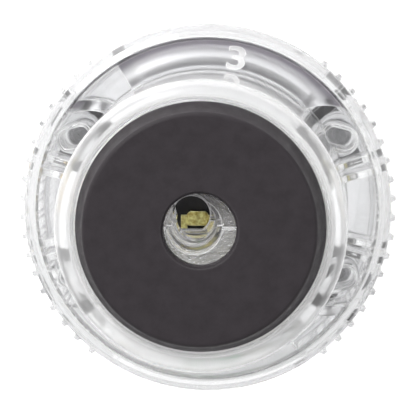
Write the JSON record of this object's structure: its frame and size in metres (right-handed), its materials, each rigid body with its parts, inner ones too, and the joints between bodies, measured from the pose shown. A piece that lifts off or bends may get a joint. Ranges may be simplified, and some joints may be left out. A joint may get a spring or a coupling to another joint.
{
  "type": "cord connector",
  "caption": "Straight-blade female cord connector with clear housings, a pilot lamp inside, black cord gland and cord grips.",
  "frame": {"origin": "centre of the contact face, which is the bottom of the part as it stands", "axes": "+Z along the connector's axis towards the cord end, +X towards the neutral slot, +Y away from the ground pole"},
  "size_m": [0.0414, 0.0404, 0.058],
  "materials": {
    "clear_rear": "clear, polished polycarbonate",
    "clear_front": "clear, polished polycarbonate",
    "clear_grip": "clear, slightly clouded",
    "black_elastomer": "satin, moulded",
    "black_insulator": "moulded, slightly glossy",
    "contact_brass": "stamped, bright",
    "plate_steel": "zinc plated",
    "screw_brass": "turned",
    "screw_nickel": "nickel plated",
    "screw_green": "green dyed plating",
    "screw_steel": "zinc plated",
    "lamp_glass": "clear, smooth",
    "electrode_nickel": "drawn",
    "resistor_body": "lacquered",
    "lead_sleeve": "thin insulating sleeve"
  },
  "bodies": {
    "root": {"rear_housing": "clear_rear", "front_body": "clear_front", "contact_carrier": "black_insulator", "line_contact": "contact_brass", "neutral_contact": "contact_brass", "ground_contact": "contact_brass", "line_clamp_plate": "plate_steel", "neutral_clamp_plate": "plate_steel", "ground_clamp_plate": "plate_steel", "line_terminal_screw": "screw_brass", "neutral_terminal_screw": "screw_nickel", "ground_terminal_screw": "screw_green", "assembly_screws": "screw_steel", "neon_lamp": "lamp_glass", "lamp_electrodes": "electrode_nickel", "lamp_resistor": "resistor_body", "lamp_lead_neutral": "lead_sleeve", "lamp_lead_resistor": "lead_sleeve", "lamp_lead_line": "lead_sleeve", "cord_gland": "black_elastomer", "cord_grip_upper": "clear_grip", "cord_grip_lower": "clear_grip"}
  },
  "joints": []
}
